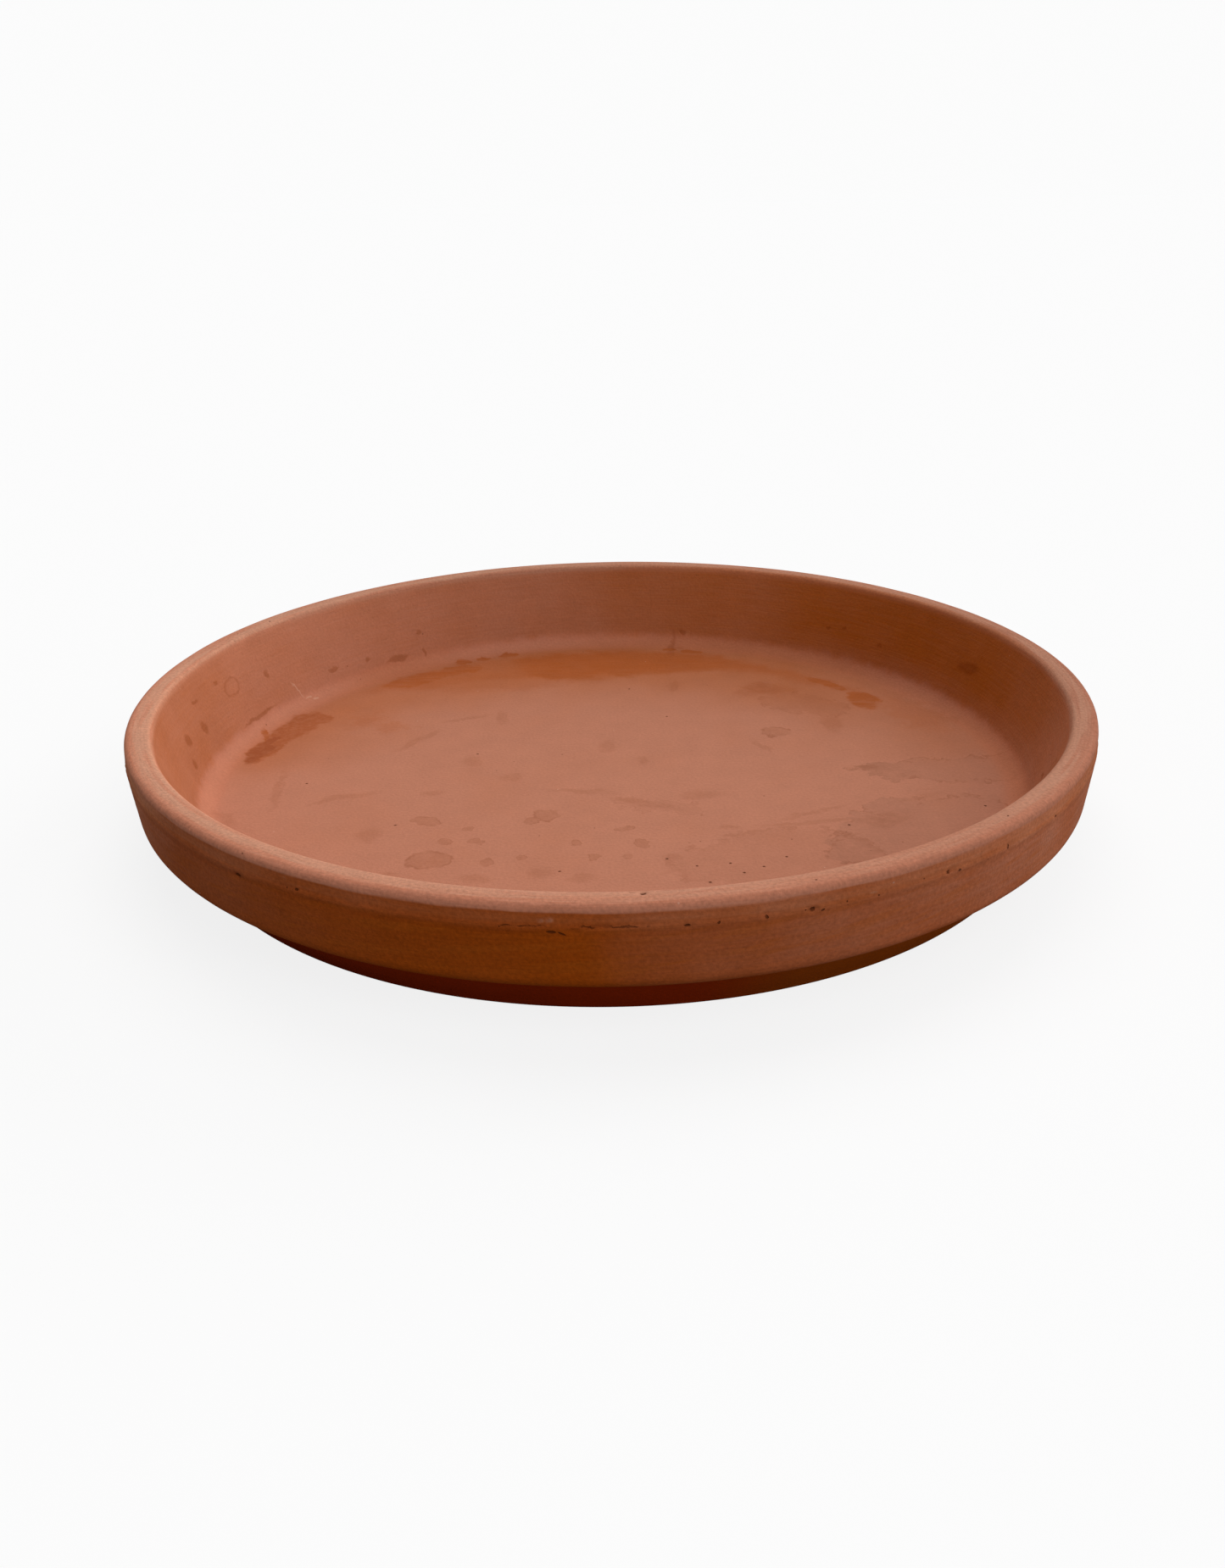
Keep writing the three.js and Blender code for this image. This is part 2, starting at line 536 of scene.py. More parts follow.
# Clouds and streaks in the bloom: size, amount and detail; then how much they count in the outside's bloom,
# in its bare clay and inside
CLOUDS = (22, 0.16, 3)
STREAKS = (1, 0.10, 3)
BLOOM_UNEVEN = 2.2
BARE_UNEVEN = 0.15
INSIDE_UNEVEN = 0.6

# Scattered dots: spacing, size as a share of it, and the share left out. The grit is moved by its offset, so
# that it doesn't fall on the specks
SPECKS = (4.5, 0.06, 0.8)
SEAM_SPECKS = (1.7, 0.12, 0.8)
GRIT_GRAINS = (5.5, 0.05, 0.75)
GRIT_OFFSET = (31, 17, 5)

# A stain's tide line, as shares of its reach: where it starts, is full and begins to fade again
TIDE_LINE = (0.8, 0.97, 0.98)
STEP_MIDDLE = 0.3  # of the parting line's step, along the profile

# Mottling, and fine grain in the colour: its amount inside, how much more there is outside, and how much of
# the turning lines shows
MOTTLE = (8, 0.04, 4)
SAND = 0.065
OUTER_SAND = 0.09
TURNING = 0.02

# Noise drawn out round the rim, and noise that slants up the collar
STREAK_LENGTH = 14
STREAKS_ACROSS = 1.3
SLANT_LENGTH = 22
SLANT_RISE = 0.55
SLANT_TURN = -60

# Two noises push places about, so that marks get uneven, ragged edges: size, detail and amount. Then how
# much of that push each kind of place takes, sideways and up
WOBBLE = (6, 2, 8)
FRAYING = (1.6, 3, 4)
DOT_PUSH = (0.07, 0.07)
MARK_PUSH = (0.6, 0.6)
PATCH_PUSH = (1.7, 1.7)
RIM_PUSH = (0.10, 0.07)
DROP_PUSH = (0.5, 0.3)

# How much pale bloom the clay wears at each bearing: (degrees round from +X, amount)
# On the outside the bloom grows towards the sides partly as a painted sheen, where the wall is seen at a
# grazing angle
WALL_BLOOM_AND_SHEEN = ((-180, 0.7), (-155, 0.59), (-138, 0.26), (-122, 0.1), (-97, 0.0), (-91.5, 0.04), (-89, 0.12),
              (-80, 0.19), (-60, 0.43), (-45, 0.55), (-25, 0.56), (10, 0.5), (45, 0.3), (80, 0.35),
              (120, 0.2), (150, 0.4), (180, 0.7))
BAND_BLOOM = ((-180, 0.22), (-80, 0.2), (-62, 0.02), (0, 0.05), (90, 0.15), (180, 0.22))
INSIDE_BLOOM = ((-180, 0.5), (-120, 0.6), (-60, 0.55), (-15, 0.53), (0, 0.25), (20, 0.05), (40, 0.04),
                (55, 0.11), (70, 0.26), (85, 0.34), (105, 0.66), (125, 0.68), (147, 0.8), (162, 0.68),
                (180, 0.5))
# Bloom in the cove at each bearing, raised partly as a painted highlight where the cove catches the light,
# and lower on the right partly as painted shade from the right wall
COVE_BLOOM_AND_LIGHT = ((-180, 0.95), (-90, 0.9), (-30, 0.75), (10, 0.7), (30, 0.78), (50, 0.6), (90, 0.76),
              (110, 0.95), (130, 0.72), (150, 1.0), (180, 0.95))
LOW_WALL_BLOOM = ((-180, 0), (-45, 0), (-20, 0.12), (0, 0.22), (45, 0.2), (70, 0.02), (180, 0))

# The band of bare clay at the back of the floor: (degrees, radius of its inner edge), (degrees, radius of
# its outer edge) and (degrees, strength)
BAND_INNER = ((30, 98), (37, 95), (45, 92), (53, 91.5), (63, 89.5), (75, 81.5), (85, 77), (95, 75), (103, 76),
              (110, 80), (118, 86), (129, 89), (137, 97), (142, 104))
BAND_OUTER = ((30, 99), (45, 98), (60, 99), (72, 102), (110, 102), (140, 103))
BAND_STRENGTH = ((30, 0), (38, 0.4), (48, 0.43), (62, 0.6), (74, 0.74), (88, 0.8), (104, 0.82), (110, 0.5),
                 (118, 0.34), (126, 0.36), (136, 0.3), (143, 0))
BAND_SCALE = 120
SMEARING = (1 / 7, 1 / 1.6, 1)  # its streaks run along X

# The floor is warmer away from this place: x, y, the reach where it starts and is complete, and how much
# of it there is at each bearing
WARM_CENTRE = (-5, -20)
WARM_REACH = (64, 108)
WARM_SHARE = ((-180, 0.3), (-166, 0), (-20, 0), (-3, 0.12), (9, 0.4), (22, 0.45), (40, 0.75), (75, 1),
              (115, 1), (135, 0.75), (165, 0.85), (180, 0.3))

# Painted light and shade: how much lighter or darker the lip, its outer roll, the outside and the inner wall
# are painted at each bearing, after where the light falls on them
PAINTED_LIGHT_SCALE = 1.4
LIP_PAINTED_LIGHT = ((-180, 1.08), (-140, 1.06), (-110, 1.045), (-85, 1.03), (-60, 0.96), (-30, 0.92), (-15, 0.88),
            (5, 0.84), (50, 0.87), (90, 0.85), (130, 0.93), (180, 1.08))
ROLL_PAINTED_LIGHT = ((-180, 1.05), (-90, 1.0), (-60, 0.97), (-30, 0.93), (-12, 0.86), (10, 0.86), (50, 0.95),
             (180, 1.05))
WALL_PAINTED_LIGHT = ((-180, 1.3), (-156, 1.27), (-138, 1.04), (-118, 0.98), (-102, 0.94), (-77, 0.95), (-61, 1.01),
             (-41, 1.06), (-25, 0.95), (10, 1.0), (90, 1.0), (180, 1.3))
INSIDE_PAINTED_LIGHT = ((-180, 0.98), (-90, 1.0), (-15, 0.965), (0, 0.965), (15, 0.99), (50, 1.0), (70, 0.99),
               (88, 0.94), (100, 0.935), (113, 0.97), (125, 1.0), (150, 1.03), (162, 1.03), (176, 0.98),
               (180, 0.98))

# At each bearing, how bare the lip's inner edge is, how much pale dust lies on its top, how brown the foot
# is, and how much of the parting line gapes as a crack
LIP_EDGE_BARE = ((-180, 0.15), (-60, 0.05), (-15, 0.05), (5, 0.35), (25, 0.7), (60, 0.7), (85, 0.3),
                 (110, 0.05), (180, 0.15))
LIP_SHARE = ((-180, 1.0), (-140, 1.0), (-112, 0.8), (-85, 0.75), (-60, 0.6), (-35, 0.8), (0, 0.85), (60, 0.8),
             (100, 1.0), (180, 1.0))
BROWN_FOOT = ((-180, 0.5), (-130, 0), (-85, 0), (-68, 1), (90, 1), (180, 0.5))
CRACKED = ((-180, 0.3), (-110, 0.25), (-101, 0.9), (-88, 0.9), (-82, 0.35), (-60, 0.45), (-20, 0.3),
           (180, 0.3))

# Marks on the floor of the dish: x, y, half length, half width, degrees turned; but x, y for the dots
BARE_PATCHES = ((-94.8, 37.0, 12.0, 5.6, 72), (-101.2, 18.0, 10.0, 4.3, 79), (-98.4, 27, 7, 4.2, 75),
                (-91.6, 42.6, 5.2, 6.2, 60))
DARK_PATCHES = ((-102.3, 16, 9.0, 3.0, 80), (-100.5, 24, 4.0, 2.0, 60))
BARE_SMUDGES = ((-64, 77, 13, 5.5, 36), (-50, 86, 8, 4.5, 22), (79, 50, 4.8, 7.5, 5), (-104, 33, 1.0, 12, 12),
                (-76, 88, 3.0, 2.2, 30), (69, 66, 10, 2.4, -48), (-50, 93.5, 3.0, 2.0, 28),
                (-43, 97, 2.4, 1.5, 24), (-34.4, 100.6, 3.4, 1.8, 19), (20.5, 102.5, 2.4, 1.8, 0),
                (28, 100, 3.4, 2, -16))
BARE_CLOUDS = ((0, 92, 28, 12, 0), (32, 89, 16, 8, -18), (-75, 40, 8, 5, 60), (-66, 35, 7, 4, 0),
               (-30, 74, 34, 9, 8), (50, 62, 9, 5, -25), (92, 38, 8, 18, 20))
DROPS = ((-45, -55, 5.6, 5.0, 20), (-48, -33, 4.0, 2.4, -35), (-37, -38, 1.9, 1.5, 0),
         (-42, -45, 2.0, 1.6, 0), (-20, -84, 3.0, 2.4, 0), (30, -82, 2.2, 1.8, 0), (12, -92, 1.6, 1.8, 0),
         (-52, -80, 2.4, 1.8, 30), (-34, -45.5, 2.2, 1.5, 0), (-31, -56, 1.8, 2.0, 0),
         (-22.5, -54.5, 1.2, 1.8, 0),
         (-17, -31, 3.4, 3.8, 0), (-21, -34.5, 2.2, 1.8, 20), (-9, -47, 1.4, 1.7, 0), (7, -48, 2.1, 2.3, 0),
         (3, -39.5, 2.3, 1.1, 10), (48.5, 25, 4.2, 4.2, 0), (-5, -56, 1.5, 1.8, 0), (3.5, -55, 1.2, 1.5, 0))
GHOSTS = ((-62, -41, 3.2, 3.8, 0), (49, 62, 5.5, 5.0, 0), (-28, -6, 3.2, 2.4, -30), (-49, -15, 3.2, 1.8, 0),
          (-1, 16, 2.5, 4.0, 0), (8.5, 5, 1.8, 2.6, 0), (-33, -66, 4.0, 2.4, 0), (-17, -63, 3.6, 2.4, 0),
          (-8, -66, 3.4, 2.0, 20), (43, 58.5, 4.0, 3.4, -20), (-33, 41, 1.6, 5.5, 5),
          (43.5, 13, 1.2, 5.5, 25), (-45, 40, 7, 1.2, 20), (20, 66, 1.6, 4, -10), (-70, -16, 7, 1.4, 15),
          (-55, -63, 3, 2, 0), (24, -20, 6, 2.6, 8), (70, -37, 7, 4, 20), (66, 30, 3, 6, 0),
          (-40, 7, 2.4, 3.4, 20), (30, -40, 3, 1.2, 5), (-101, -29, 5.5, 1.6, -55), (-59, 21, 1.4, 7, -28),
          (-54, 27, 5, 1.2, 55), (-91, -10, 1.0, 14, 4), (-75, -18, 8, 0.9, 30), (8, -24, 9, 1.6, -22),
          (-8, -16, 9, 1.6, -12), (50, -38, 13, 1.0, 5), (52, -32, 9, 1.0, 22), (21.5, 101, 5.5, 1.1, 78),
          (70, -3, 5, 1.8, -5), (83, -23, 9, 1.2, 25))
TIDE_POOLS = ((44, -57, 22, 17, 5), (30, -60, 18, 12, 0), (12, -26, 12, 4.0, -14), (60, 47, 15, 8, -30))
DAMP = ((76, -7, 7, 6.0, -40), (92, -6, 15, 8.5, -14), (106, -5, 12, 10, 0), (69, -2.5, 4.5, 1.4, 0))
FAINT_DAMP = ((76, -43, 20, 14, 20), (64, -52, 13, 10, 40), (92, -36, 14, 13, 0), (74, -29, 10, 4, 16))
DOTS = ((17, 39), (-38.5, 12), (-84, -7), (-56, -35), (22.5, -69.5), (-13, -62.5), (13, -57), (28, -60),
        (42, -57), (20, -61), (6, 64), (97, -30), (60, -40), (31, -65), (36, -62))
DOT_SIZE = 0.32
DRYING = (70, 92)  # the damp patches grow fainter between these places along X, towards the wall
DRIED_SHARE = 0.35
BACK_SHADE_SPAN = (-30, 70)  # painted shade from the back wall: the floor grows darker between these places along Y

# Marks on the inside wall: degrees round from +X, millimetres below the top of the wall, half length,
# half height, degrees turned
WALL_DROPS = ((155.7, 12.4, 1.4, 1.9, 0), (167.3, 6.8, 1.4, 0.6, 0), (174.9, 7.2, 2.2, 0.6, 0),
              (175.8, 14.4, 2.2, 2.1, 0), (-177.5, 13.1, 2.0, 1.9, 0), (-175.1, 18.7, 2.0, 1.5, 0),
              (124.3, 15.4, 1.3, 1.0, 20), (142.1, 18.9, 2.6, 0.8, 0), (134.8, 19.7, 1.6, 0.8, 0),
              (129.4, 22.2, 4.8, 1.2, 0), (124.0, 22.0, 0.6, 1.6, 0), (76.7, 22.0, 1.5, 1.0, 0),
              (-18.0, 15.0, 2.4, 0.8, 20), (20.5, 12.5, 6.0, 2.0, 6), (161, 22.5, 11, 0.6, 1),
              (47.5, 13.5, 0.8, 0.7, 0), (50.5, 14.5, 0.7, 0.6, 0), (40, 16, 1.0, 0.7, 0))
WALL_RINGS = ((164.4, 10.6, 4.2, 2.8, 0), (-22, 9.0, 3.0, 2.4, 0))
WALL_STREAK = ((78.5, 27.0, 1.0, 5.5, 0), (77.4, 30.5, 1.6, 3.0, -30))
WALL_SCRATCHES = ((151.0, 21.0, 0.35, 3.0, 24), (149.4, 24.4, 1.5, 0.4, 8), (148.2, 25.8, 1.3, 0.4, -14))

# Marks on the lip and the outside of the collar: degrees, millimetres in from the edge of the lip's top or
# up from the ground, half length, half height, degrees turned
LIP_PITS = ((-87.4, 3.2, 0.7, 0.5, 20), (-88.3, 3.9, 0.9, 0.2, 0), (-96.0, 5.4, 0.25, 0.2, 0),
            (-47.0, 1.6, 0.25, 0.2, 0), (-71.5, 0.8, 0.3, 0.2, 0), (150, 3, 0.4, 0.3, 0))
COLLAR_PITS = ((-95.6, 26.3, 1.2, 0.4, 0), (-94.6, 25.9, 1.0, 0.25, -25), (-83.7, 27.0, 0.7, 0.3, 0),
               (-80.9, 27.0, 0.3, 0.3, 0), (-76.6, 27.1, 0.4, 0.35, 0), (-72.2, 27.0, 0.6, 0.5, 0),
               (-71.2, 26.6, 0.5, 0.25, 20), (-128.6, 25.9, 1.2, 0.35, 0), (-120.5, 27.6, 0.6, 0.3, 0),
               (-57.3, 27.3, 0.7, 0.4, 0), (-55.9, 27.0, 0.5, 0.4, 0), (-39.4, 27.0, 0.5, 0.3, 0),
               (-48.6, 27.0, 0.25, 0.8, 0), (20, 27.2, 1.0, 0.4, 0), (76, 25.6, 0.8, 0.5, 0),
               (158, 27.3, 1.4, 0.35, 0))
PALE_SMEARS = ((-96.2, 28.6, 1.8, 0.7, 0), (-95.6, 28.9, 0.8, 0.7, 30), (-121.9, 29.3, 0.6, 0.5, 0),
               (60, 28.6, 3.0, 0.6, 0), (-66, 27.9, 1.2, 0.3, 0), (140, 20.0, 4.0, 0.8, 10))


def round_rim(marks):
    """The same marks with their bearing as millimetres round the rim."""
    return [(math.radians(degrees) * WIDEST_RADIUS, *rest) for degrees, *rest in marks]


class ClaySurface:
    """Where a point lies on the saucer, in millimetres, for the layers of the clay to share."""

    def __init__(self, g, stations):
        self.g = g
        self.stations = stations
        metres = g.node("TexCoord", output="Object")
        self.place = g.node("VectorMath", {0: metres, "Scale": 1 / MM}, operation="SCALE")
        self.x, self.y, self.z = (g.node("SeparateXYZ", {0: self.place}, axis) for axis in "XYZ")
        self.plan = g.join(self.x, self.y)
        self.radius = g.vector("LENGTH", self.plan, output="Value")
        self.turn = g.times(g.maths("ARCTAN2", self.y, self.x), 1 / (2 * math.pi))
        self.along = g.node("Attribute", output="Fac", attribute_name="along")
        self.streaks = self.stretched(STREAK_LENGTH, g.times(self.along, STREAKS_ACROSS))
        climb = g.add(g.times(self.z, SLANT_RISE), g.times(self.turn, SLANT_TURN))
        self.slanting = self.stretched(SLANT_LENGTH, climb)
        self.push = g.vector("ADD", self.swirl(*WOBBLE), self.swirl(*FRAYING))
        self.for_dots = self.pushed(self.plan, *DOT_PUSH)
        self.for_marks = self.pushed(self.plan, *MARK_PUSH)
        self.for_patches = self.pushed(self.plan, *PATCH_PUSH)
        around = g.times(self.turn, 2 * math.pi * WIDEST_RADIUS)
        self.outer_wall = self.pushed(g.join(around, self.z), *RIM_PUSH)
        self.lip = self.pushed(g.join(around, self.from_stretch("lip_top")), *RIM_PUSH)
        self.inner_wall = self.pushed(g.join(around, self.from_stretch("wall")), *DROP_PUSH)

    def stretched(self, length, across):
        return self.g.join(self.g.times(self.x, 1 / length), self.g.times(self.y, 1 / length), across)

    def swirl(self, size, detail, amount):
        """A push in x and y that changes from place to place."""
        cloud = self.g.noise(self.place, size, detail, output="Color")
        centred = self.g.vector("SUBTRACT", cloud, (0.5, 0.5, 0.5))
        return self.g.vector("MULTIPLY", centred, (amount, amount, 0))

    def pushed(self, place, sideways, up):
        return self.g.vector("ADD", place, self.g.vector("MULTIPLY", self.push, (sideways, up, 0)))

    def from_stretch(self, name, end=0):
        """How far a point is past the start of a stretch of the profile, or past its end if end is 1."""
        return self.g.less(self.along, self.stations[name][end])

    def within(self, first, last, soft=0.6):
        """1 between the start of the first stretch and the end of the last, soft at both ends."""
        rise = self.g.fade(self.from_stretch(first), -soft, soft)
        fall = self.g.fade(self.from_stretch(last, 1), soft, -soft)
        return self.g.times(rise, fall)

    def by_bearing(self, points, scale=1.0):
        """A value from 0 to the scale that changes with the bearing; points are (degrees, value)."""
        turned = self.g.add(self.turn, 0.5)
        return self.g.times(self.g.curve(turned, [(d / 360 + 0.5, v / scale) for d, v in points]), scale)

    def with_painted_light(self, colour, points):
        """The colour made lighter or darker by an amount that changes with the bearing: painted light and
        shade.
        """
        return self.g.brightened(colour, self.by_bearing(points, PAINTED_LIGHT_SCALE))


def body_colour(s):
    """The clay under its bloom, without marks: outside and inside of the dish."""
    g = s.g
    cloudy = g.ripple(s.place, *CLOUDS)
    streaky = g.ripple(s.streaks, *STREAKS)
    outside = outside_colour(s, cloudy, streaky)
    inside = inside_colour(s, cloudy, streaky)
    return g.blend(g.fade(s.from_stretch("lip_top"), 0, 4), outside, inside)


def outside_colour(s, cloudy, streaky):
    """Bloom on the collar and on the band above the parting line, rubbed in slanting streaks, over bare clay
    with painted shade; the bloom is partly a painted sheen, and all of it has painted light and shade by
    bearing.
    """
    g = s.g
    on_band = s.within("seam", "band", 2.4)
    # Bloom, partly a painted sheen towards the sides
    dust_and_sheen = g.add(s.by_bearing(WALL_BLOOM_AND_SHEEN), g.times(on_band, s.by_bearing(BAND_BLOOM)))
    dust_and_sheen = g.times(dust_and_sheen, g.fade(s.z, 11, 18, 0.6, 1.0))
    uneven = g.add(1.0, g.times(g.add(cloudy, streaky), BLOOM_UNEVEN))
    bloom = g.add(g.times(dust_and_sheen, uneven), g.times(cloudy, BARE_UNEVEN))
    colour = g.blend(g.limit(bloom), BARE_OUTSIDE_SHADED, BLOOM)
    rubbed = g.fade(g.noise(s.slanting, 1, 4), 0.45, 0.68)
    rubbed = g.times(rubbed, g.times(s.within("collar", "collar", 2), RUBBED_STRENGTH))
    colour = g.blend(rubbed, colour, RUBBED_OUTSIDE)
    # The outside painted lighter or darker by bearing, as painted light and shade
    return g.tinted(on_band, s.with_painted_light(colour, WALL_PAINTED_LIGHT), BAND_TINT)


def inside_colour(s, cloudy, streaky):
    """Bloom on the inner wall, the cove below it and the floor, with a painted highlight in the cove and
    painted light and shade on the wall by bearing.
    """
    g = s.g
    uneven = g.add(g.times(cloudy, INSIDE_UNEVEN), g.times(streaky, INSIDE_UNEVEN))
    bloom = g.add(s.by_bearing(INSIDE_BLOOM), uneven)
    low = g.times(g.fade(s.from_stretch("wall", 1), -8, 0), s.by_bearing(LOW_WALL_BLOOM))
    bloom = g.add(bloom, low)
    cove = g.fade(g.add(s.from_stretch("cove"), g.ripple(s.place, 5, 1.0, 4)), -1.4, 1.9)
    # Bloom in the cove, partly a painted highlight
    bloom = g.blend_value(cove, bloom, s.by_bearing(COVE_BLOOM_AND_LIGHT))
    bloom = g.blend_value(g.fade(s.from_stretch("floor"), -4, 3), bloom, floor_bloom(s))
    colour = g.blend(g.limit(bloom), BARE_INSIDE, BLOOM)
    # The inner wall painted lighter or darker by bearing, as painted light and shade
    colour = g.blend(g.fade(s.from_stretch("cove"), 0.5, -2), colour, s.with_painted_light(colour, INSIDE_PAINTED_LIGHT))
    # A painted highlight along the cove
    return g.tinted(s.within("cove", "cove", 1.5), colour, COVE_HIGHLIGHT_TINT)


def floor_bloom(s):
    """The bloom on the floor thins out, and looks warmer, towards the back."""
    g = s.g
    away = g.vector("DISTANCE", s.plan, (*WARM_CENTRE, 0), "Value")
    warm = g.times(g.fade(away, *WARM_REACH), s.by_bearing(WARM_SHARE))
    warm = g.add(warm, g.ripple(s.place, 16, 0.06, 4))
    return g.add(g.less(1.0, g.times(warm, WARM_STRENGTH)), g.ripple(s.place, 24, 0.09, 3))


def bare_floor(s):
    """Where water has washed the bloom off the floor, from 0 to 1."""
    g = s.g
    inner = g.add(s.by_bearing(BAND_INNER, BAND_SCALE), g.ripple(s.place, 8, 2.6, 4))
    outer = g.add(s.by_bearing(BAND_OUTER, BAND_SCALE), g.ripple(s.place, 5, 2.2, 4))
    band = g.times(g.fade(g.less(s.radius, inner), -2.6, 4), g.fade(g.less(s.radius, outer), 3, -3))
    smeared = g.vector("MULTIPLY", s.place, SMEARING)
    band = g.times(band, s.by_bearing(BAND_STRENGTH), g.add(1.0, g.ripple(smeared, 1, 0.22, 4)))
    smudges = g.fade(g.nearest(s.for_marks, BARE_SMUDGES), 1.18, 0.8)
    smudges = g.times(smudges, SMUDGE_STRENGTH, g.fade(g.noise(smeared, 1, 4), 0.3, 0.6, 0.6, 1.0))
    clouds = g.times(g.fade(g.nearest(s.for_patches, BARE_CLOUDS), 1.3, 0.4), CLOUD_STRENGTH)
    washed = g.most(band, smudges)
    return g.maths("ADD", washed, g.times(clouds, g.less(1.0, washed)), clamp=True)


def floor_stains(s, colour):
    """Dried drops, tide lines and damp patches on the floor of the dish, and painted shade from the back wall
    towards the back.
    """
    g = s.g
    on_floor = g.fade(s.from_stretch("cove"), 1.5, 4.5)
    patches = g.fade(g.nearest(s.for_marks, BARE_PATCHES), 1.12, 0.86)
    patches = g.times(patches, g.fade(g.noise(s.place, 2.2, 4), 0.36, 0.56, 0.6, 1.0), on_floor)
    colour = g.blend(patches, colour, STAINED)
    dark = g.times(g.fade(g.nearest(s.for_marks, DARK_PATCHES), 1.15, 0.7), on_floor)
    colour = g.tinted(dark, colour, DARK_PATCH_TINT)
    # Painted shade from the back wall
    back_shade = g.times(g.fade(s.y, *BACK_SHADE_SPAN), on_floor)
    colour = g.tinted(back_shade, colour, BACK_SHADE_TINT)
    uneven = g.fade(g.noise(s.place, 3, 4), 0.3, 0.6, 0.55, 1.0)
    broken = g.fade(g.noise(s.place, 5, 3), 0.42, 0.58)
    wetness = g.times(uneven, g.fade(s.x, *DRYING, 1.0, DRIED_SHARE))
    line_start, line_full, line_end = TIDE_LINE
    # marks, place, tint, reach where the stain starts, reach where it is full, how dark its tide line is
    layers = (
        (DAMP, s.for_patches, DAMP_TINT, 1.02, 0.95, 1.0),
        (FAINT_DAMP, s.for_patches, FAINT_DAMP_TINT, 1.03, 0.94, 1.0),
        (TIDE_POOLS, s.for_patches, TIDE_TINT, 1.02, 0.92, 0.6),
        (GHOSTS, s.for_marks, GHOST_TINT, 1.45, 0.5, 0.0),
        (DROPS, s.for_marks, DROP_TINT, 1.1, 0.92, 0.9),
    )
    for marks, place, tint, outer, inner, tide in layers:
        reach = g.nearest(place, marks)
        colour = g.tinted(g.times(g.fade(reach, outer, inner), on_floor, wetness), colour, tint)
        if tide:
            edge = g.times(g.fade(reach, outer, line_end), g.fade(reach, line_start, line_full))
            edge = g.times(edge, broken, on_floor, tide)
            colour = g.tinted(edge, colour, TIDE_LINE_TINT)
    return colour


def inner_wall_stains(s, colour):
    """Drops, tide rings, a run and scratches on the inner wall."""
    g = s.g
    on_wall = s.within("wall", "cove", 0.5)
    drops = g.fade(g.nearest(s.inner_wall, round_rim(WALL_DROPS)), 1.25, 0.55)
    ring = g.nearest(s.inner_wall, round_rim(WALL_RINGS))
    ring = g.times(g.fade(ring, 1.15, 1.0), g.fade(ring, 0.72, 0.95), RING_STRENGTH)
    streak = g.fade(g.nearest(s.inner_wall, round_rim(WALL_STREAK)), 1.6, 0.3)
    streak = g.times(streak, STREAK_STRENGTH)
    colour = g.tinted(g.times(g.most(drops, ring, streak), on_wall), colour, WALL_STAIN_TINT)
    scratches = g.fade(g.nearest(s.inner_wall, round_rim(WALL_SCRATCHES)), 1.3, 0.6)
    return g.blend(g.times(scratches, g.times(on_wall, SCRATCH_STRENGTH)), colour, PALE_SCRATCH)


def seam_stains(s, colour):
    """Pale smears along the parting line, grime with painted shade in the soft crease under it, and the step
    itself painted darker with grime and painted shade.
    """
    g = s.g
    smears = g.fade(g.nearest(s.outer_wall, round_rim(PALE_SMEARS)), 1.3, 0.3)
    smears = g.times(smears, g.fade(g.noise(s.place, 1.2, 4), 0.32, 0.66))
    smears = g.times(smears, s.within("collar", "band", 0.5), SMEAR_STRENGTH)
    colour = g.blend(smears, colour, LIP_DUST)
    # Grime and painted shade in the soft crease under the step
    seam = g.add(s.from_stretch("seam"), g.ripple(s.place, 26, 0.3))
    grime_and_shade = g.times(g.fade(seam, -2.7, -1.9), g.fade(seam, 0.3, -1.3))
    grime_and_shade = g.times(grime_and_shade, g.fade(g.noise(s.streaks, 1, 4), 0.3, 0.6, 0.35, 1.0))
    colour = g.tinted(grime_and_shade, colour, GRIME_AND_SHADE_TINT)
    # The step painted darker: grime and painted shade over the light it catches
    from_step = g.less(s.from_stretch("seam"), STEP_MIDDLE)
    step = g.maths("ABSOLUTE", g.add(from_step, g.ripple(s.place, 9, 0.15)))
    step = g.times(g.fade(step, 0.8, 0.25), g.fade(g.noise(s.streaks, 1.5, 4), 0.3, 0.55, 0.45, 1.0))
    return g.tinted(step, colour, STEP_SHADE_TINT)


def lip_colour(s, colour):
    """The lip is rubbed pale on top, pinker on its outer roll, with a ragged lower edge; the roll and the
    whole lip are painted lighter or darker by bearing, as painted light and shade.
    """
    g = s.g
    lip = g.times(g.fade(g.add(s.from_stretch("lip_outer"), g.ripple(s.streaks, 1, 0.2)), -0.3, 0.3),
                  g.fade(g.add(s.from_stretch("lip_inner", 1), g.ripple(s.streaks, 1, 0.3)), 1.8, -0.9))
    on_top = g.fade(g.add(s.from_stretch("lip_top"), g.ripple(s.streaks, 0.8, 0.7, 3)), -1.0, 1.8)
    on_top = g.times(on_top, g.fade(g.noise(s.streaks, 2.2, 3), 0.36, 0.52, 0.35, 1.0))
    on_top = g.times(on_top, s.by_bearing(LIP_SHARE))
    # The outer roll painted lighter or darker by bearing, as painted light and shade
    rubbed = g.blend(on_top, s.with_painted_light(LIP_ROLL, ROLL_PAINTED_LIGHT), LIP_DUST)
    edge = g.fade(g.add(s.from_stretch("lip_inner"), g.ripple(s.streaks, 1, 0.3)), -0.8, 1.4)
    rubbed = g.blend(g.times(edge, s.by_bearing(LIP_EDGE_BARE)), rubbed, LIP_BARE)
    # The lip painted lighter or darker by bearing, as painted light and shade
    rubbed = s.with_painted_light(rubbed, LIP_PAINTED_LIGHT)
    lip = g.times(lip, g.add(LIP_STRENGTH, g.ripple(s.streaks, 0.8, 0.1, 3)))
    return g.blend(lip, colour, rubbed)


